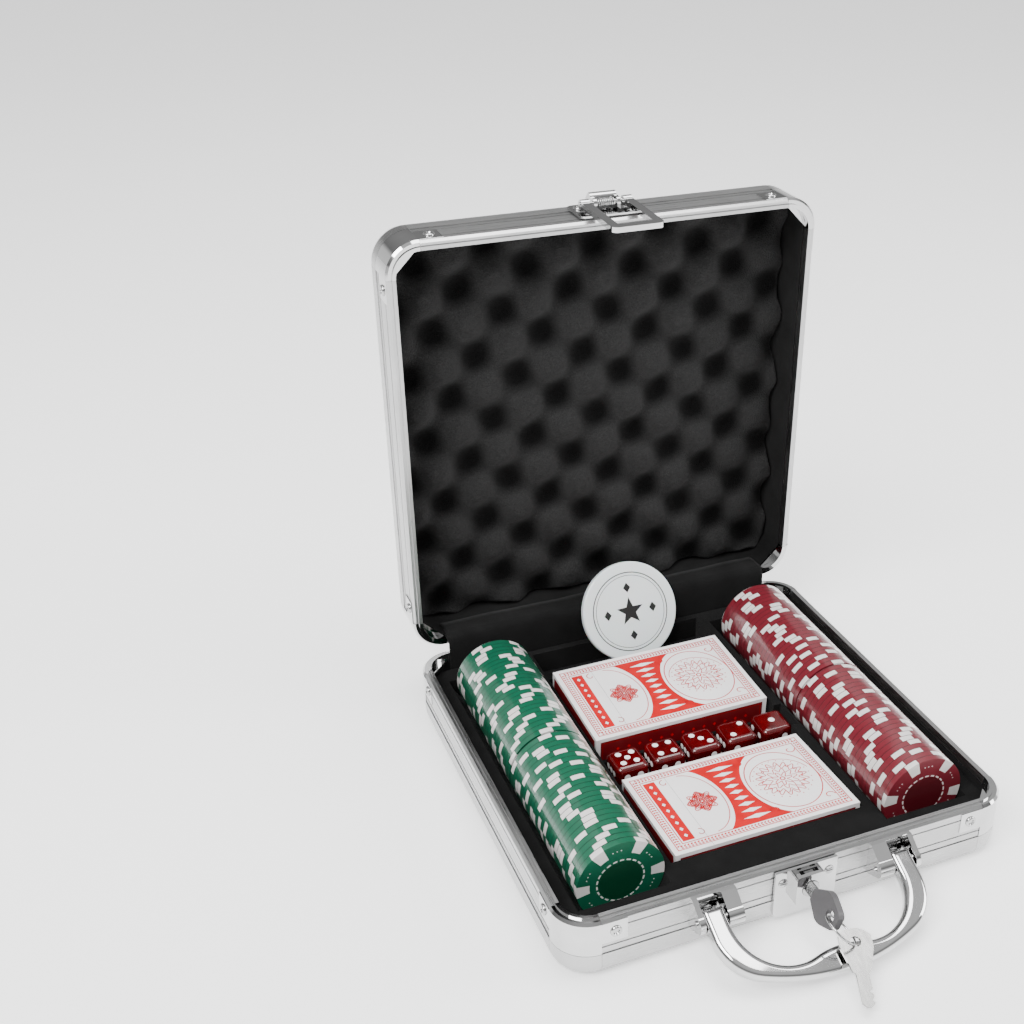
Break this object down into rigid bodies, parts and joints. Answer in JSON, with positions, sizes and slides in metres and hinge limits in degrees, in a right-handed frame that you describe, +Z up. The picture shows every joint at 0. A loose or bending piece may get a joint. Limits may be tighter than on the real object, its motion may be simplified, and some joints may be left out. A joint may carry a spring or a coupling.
{
  "type": "poker chip case",
  "caption": "Small aluminium game case, lid open, with a flocked tray of poker chips, card boxes, dice and a dealer button; front handle, lock, keys and spring hasp.",
  "frame": {"origin": "middle of the base shell's underside, on its middle rib, where the case rests on a table", "axes": "+Z up; -Y is the front with the handle and lock; +Y is the hinge side; +X is right seen from the front"},
  "size_m": [0.2118, 0.2909, 0.2475],
  "materials": {
    "ribbed_panel": "anodised, fine ribs",
    "rail_aluminium": "brushed extrusion",
    "corner_satin": "satin pressed caps",
    "chrome": "bright plated",
    "rivet_metal": "bright plated",
    "lining_black": "black cloth over board",
    "flap_black": "black cloth",
    "feet_black": "moulded",
    "label_metal": "plain satin plate",
    "foam_grey": "egg-crate foam",
    "tray_flock": "flocked",
    "lock_metal": "plated",
    "key_plastic": "dark grey moulded grip",
    "chip_green": "moulded chips in clear film",
    "chip_red": "moulded chips in clear film",
    "card_box": "printed card, red pattern on white",
    "dice_red": "translucent, white pips",
    "button_white": "polished white"
  },
  "bodies": {
    "base": {"base_panel": "ribbed_panel", "base_edge_rails": "rail_aluminium", "base_edge_corners": "corner_satin", "base_rim_front": "rail_aluminium", "base_rim_rear": "rail_aluminium", "base_rim_left": "rail_aluminium", "base_rim_right": "rail_aluminium", "base_rim_corners": "chrome", "base_rivets": "rivet_metal", "base_lining": "lining_black", "base_feet": "feet_black", "hinge_leaves_base": "chrome", "hinge_pins": "rivet_metal", "hinge_flap": "flap_black", "chip_tray": "tray_flock", "handle_bracket_left": "chrome", "handle_bracket_right": "chrome", "handle_pins": "rivet_metal", "base_screws": "rivet_metal", "lock_plate": "chrome"},
    "lid": {"lid_panel": "ribbed_panel", "lid_edge_rails": "rail_aluminium", "lid_edge_corners": "corner_satin", "lid_rim_hinge_side": "rail_aluminium", "lid_rim_latch_side": "rail_aluminium", "lid_rim_left": "rail_aluminium", "lid_rim_right": "rail_aluminium", "lid_rim_corners": "chrome", "lid_rivets": "rivet_metal", "lid_lining": "lining_black", "lid_feet": "feet_black", "label_plate": "label_metal", "lid_foam": "foam_grey", "hinge_leaves_lid": "chrome", "latch_plate": "chrome", "latch_rivets": "rivet_metal", "hasp_pin": "rivet_metal", "hasp_spring": "rivet_metal"},
    "hasp": {"hasp_frame": "chrome"},
    "handle": {"handle_bar": "chrome"},
    "lock_key": {"lock_cylinder": "lock_metal", "key_blade": "lock_metal", "key_head": "key_plastic"},
    "lock_bolt": {"lock_bolt": "lock_metal"},
    "key_ring": {"key_ring": "lock_metal", "spare_key": "lock_metal"},
    "chips_green_front": {"chips_green_front": "chip_green"},
    "chips_green_rear": {"chips_green_rear": "chip_green"},
    "chips_red_front": {"chips_red_front": "chip_red"},
    "chips_red_rear": {"chips_red_rear": "chip_red"},
    "card_box_front": {"card_box_front": "card_box"},
    "card_box_rear": {"card_box_rear": "card_box"},
    "die_1": {"die_1": "dice_red"},
    "die_2": {"die_2": "dice_red"},
    "die_3": {"die_3": "dice_red"},
    "die_4": {"die_4": "dice_red"},
    "die_5": {"die_5": "dice_red"},
    "dealer_button": {"dealer_button": "button_white"}
  },
  "joints": [
    {"name": "lid_hinge", "type": "hinge", "parent": "base", "child": "lid", "pos_m": [0, 0.103, 0.034], "axis": [-1, 0, 0], "range_deg": [-89.4, 0], "deforming": ["hinge_flap"]},
    {"name": "hasp_pivot", "type": "hinge", "parent": "lid", "child": "hasp", "pos_m": [0.0013, 0.1098, 0.24398], "axis": [-1, 0, 0], "range_deg": [0, 110]},
    {"name": "handle_pivot", "type": "hinge", "parent": "base", "child": "handle", "pos_m": [0, -0.1095, 0.0195], "axis": [1, 0, 0], "range_deg": [-24, 2]},
    {"name": "key_turn", "type": "hinge", "parent": "base", "child": "lock_key", "pos_m": [0.0013, -0.108, 0.0185], "axis": [0, 1, 0], "range_deg": [-22, 23]},
    {"name": "lock_bolt_slide", "type": "slide", "parent": "base", "child": "lock_bolt", "axis": [1, 0, 0], "range_m": [-0.0015, 0.0015]},
    {"name": "key_ring_swing", "type": "hinge", "parent": "base", "child": "key_ring", "pos_m": [0.0013, -0.1255, 0.0185], "axis": [1, 0, 0], "range_deg": [-52.8, 4.4]},
    {"name": "dealer_button_tip", "type": "hinge", "parent": "base", "child": "dealer_button", "pos_m": [0, 0.07112, 0.01732], "axis": [-1, 0, 0], "range_deg": [-116, 0]},
    {"name": "chips_green_front_lift", "type": "slide", "parent": "base", "child": "chips_green_front", "axis": [0, 0, 1], "range_m": [0, 0.06]},
    {"name": "chips_green_rear_lift", "type": "slide", "parent": "base", "child": "chips_green_rear", "axis": [0, 0, 1], "range_m": [0, 0.06]},
    {"name": "chips_red_front_lift", "type": "slide", "parent": "base", "child": "chips_red_front", "axis": [0, 0, 1], "range_m": [0, 0.06]},
    {"name": "chips_red_rear_lift", "type": "slide", "parent": "base", "child": "chips_red_rear", "axis": [0, 0, 1], "range_m": [0, 0.06]},
    {"name": "card_box_front_lift", "type": "slide", "parent": "base", "child": "card_box_front", "axis": [0, 0, 1], "range_m": [0, 0.05]},
    {"name": "card_box_rear_lift", "type": "slide", "parent": "base", "child": "card_box_rear", "axis": [0, 0, 1], "range_m": [0, 0.05]},
    {"name": "die_1_lift", "type": "slide", "parent": "base", "child": "die_1", "axis": [0, 0, 1], "range_m": [0, 0.03]},
    {"name": "die_2_lift", "type": "slide", "parent": "base", "child": "die_2", "axis": [0, 0, 1], "range_m": [0, 0.03]},
    {"name": "die_3_lift", "type": "slide", "parent": "base", "child": "die_3", "axis": [0, 0, 1], "range_m": [0, 0.03]},
    {"name": "die_4_lift", "type": "slide", "parent": "base", "child": "die_4", "axis": [0, 0, 1], "range_m": [0, 0.03]},
    {"name": "die_5_lift", "type": "slide", "parent": "base", "child": "die_5", "axis": [0, 0, 1], "range_m": [0, 0.03]}
  ],
  "couplings": [
    {"joint": "lock_bolt_slide", "follows": "key_turn", "m_per_rad": 0.0036},
    {"joint": "key_ring_swing", "follows": "handle_pivot", "ratio": 2.2},
    {"joint": "dealer_button_tip", "follows": "lid_hinge", "ratio": 1.2864}
  ]
}
